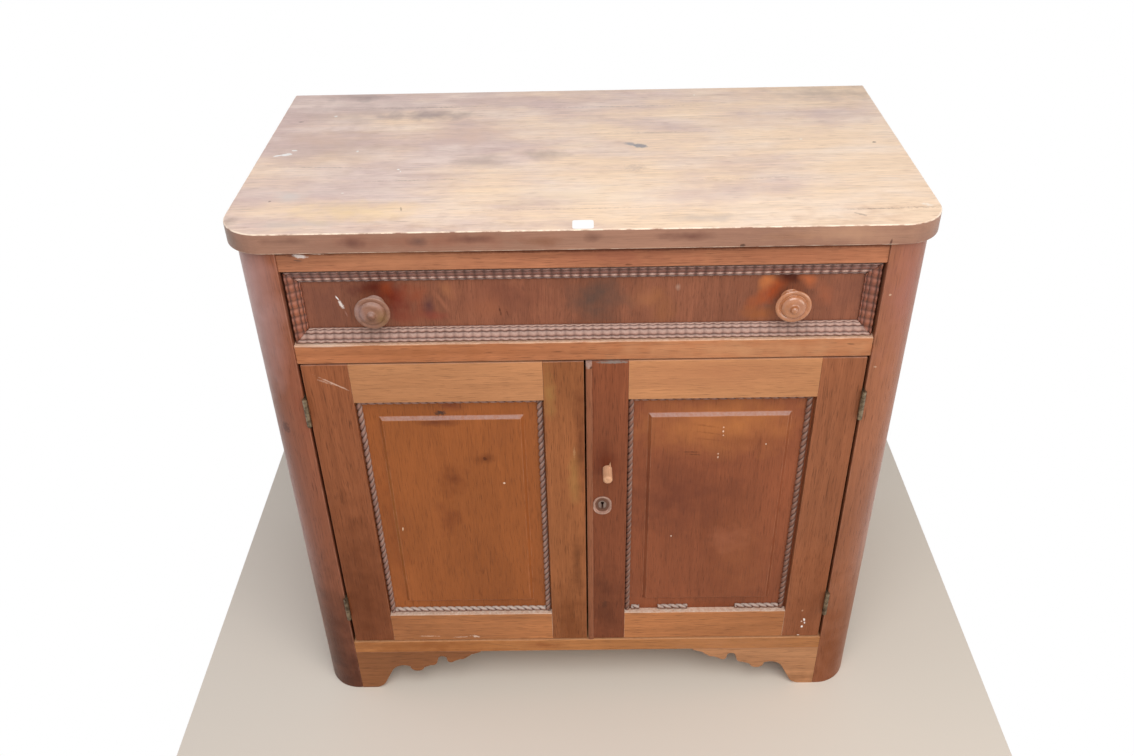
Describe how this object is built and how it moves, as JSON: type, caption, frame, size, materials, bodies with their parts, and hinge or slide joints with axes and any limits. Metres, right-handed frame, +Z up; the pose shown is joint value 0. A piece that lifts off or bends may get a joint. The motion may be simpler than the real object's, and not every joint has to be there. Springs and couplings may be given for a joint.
{
  "type": "washstand",
  "caption": "Antique walnut washstand with a ripple-moulded drawer over a pair of panelled doors, rounded front posts and scrolled foot brackets.",
  "frame": {"origin": "on the floor, below the middle of the bounding box", "axes": "+X to the right seen from the front, +Y to the back, +Z up"},
  "size_m": [0.776, 0.426, 0.747],
  "materials": {
    "top_walnut": "worn dry oil finish, horizontal grain",
    "post_walnut": "old shellac, vertical grain",
    "rail_walnut": "old shellac, horizontal grain",
    "stile_walnut": "old shellac, vertical grain",
    "panel_walnut": "old shellac, vertical grain, knots",
    "crotch_veneer": "old shellac over figured veneer",
    "ripple_walnut": "dusty old shellac",
    "knob_wood": "turned, polished by hands",
    "inside_pine": "bare, aged",
    "bare_peg": "bare split wood",
    "aged_brass": "tarnished",
    "dark_iron": "dull, aged",
    "escutcheon_metal": "dull, worn"
  },
  "bodies": {
    "case": {"top_board": "top_walnut", "left_front_post": "post_walnut", "right_front_post": "post_walnut", "left_rear_post": "post_walnut", "right_rear_post": "post_walnut", "left_side_panel": "panel_walnut", "right_side_panel": "panel_walnut", "left_side_rails": "rail_walnut", "right_side_rails": "rail_walnut", "top_rail": "rail_walnut", "middle_rail": "rail_walnut", "bottom_rail": "rail_walnut", "left_foot_bracket": "rail_walnut", "right_foot_bracket": "rail_walnut", "glue_blocks": "inside_pine", "back_rails": "inside_pine", "back_boards": "inside_pine", "cabinet_floor": "inside_pine", "floor_cleats": "inside_pine", "drawer_runners": "inside_pine", "drawer_guides": "inside_pine", "drawer_kickers": "inside_pine", "drawer_stops": "inside_pine", "left_case_leaves": "aged_brass", "right_case_leaves": "aged_brass", "hinge_pins": "aged_brass", "case_hinge_screws": "aged_brass"},
    "drawer": {"drawer_front": "crotch_veneer", "drawer_left_side": "inside_pine", "drawer_right_side": "inside_pine", "drawer_back": "inside_pine", "drawer_bottom": "inside_pine", "drawer_top_moulding": "ripple_walnut", "drawer_bottom_moulding": "ripple_walnut", "drawer_end_mouldings": "ripple_walnut", "left_knob": "knob_wood", "right_knob": "knob_wood"},
    "left_door": {"left_door_hinge_stile": "stile_walnut", "left_door_meeting_stile": "stile_walnut", "left_door_top_rail": "rail_walnut", "left_door_bottom_rail": "rail_walnut", "left_door_panel": "panel_walnut", "left_door_rope": "ripple_walnut", "left_door_leaves": "aged_brass", "left_door_screws": "aged_brass", "bolt_plate": "dark_iron"},
    "right_door": {"right_door_hinge_stile": "stile_walnut", "right_door_meeting_stile": "stile_walnut", "right_door_top_rail": "rail_walnut", "right_door_bottom_rail": "rail_walnut", "right_door_panel": "panel_walnut", "right_door_rope": "ripple_walnut", "right_door_leaves": "aged_brass", "right_door_screws": "aged_brass", "meeting_bead": "stile_walnut", "handle_peg": "bare_peg", "escutcheon": "escutcheon_metal", "lock_case": "dark_iron"},
    "left_door_bolt": {"door_bolt": "dark_iron"},
    "right_door_lock_bolt": {"lock_bolt": "aged_brass"}
  },
  "joints": [
    {"name": "drawer_slide", "type": "slide", "parent": "case", "child": "drawer", "axis": [0, -1, 0], "range_m": [0, 0.24]},
    {"name": "left_door_swing", "type": "hinge", "parent": "case", "child": "left_door", "pos_m": [-0.3275, -0.1958, 0.338], "axis": [0, 0, -1], "range_deg": [0, 165]},
    {"name": "right_door_swing", "type": "hinge", "parent": "case", "child": "right_door", "pos_m": [0.3275, -0.1958, 0.338], "axis": [0, 0, 1], "range_deg": [0, 165]},
    {"name": "left_door_bolt_slide", "type": "slide", "parent": "left_door", "child": "left_door_bolt", "axis": [0, 0, 1], "range_m": [0, 0.012]},
    {"name": "right_door_lock_throw", "type": "slide", "parent": "right_door", "child": "right_door_lock_bolt", "axis": [-1, 0, 0], "range_m": [0, 0.008]}
  ]
}
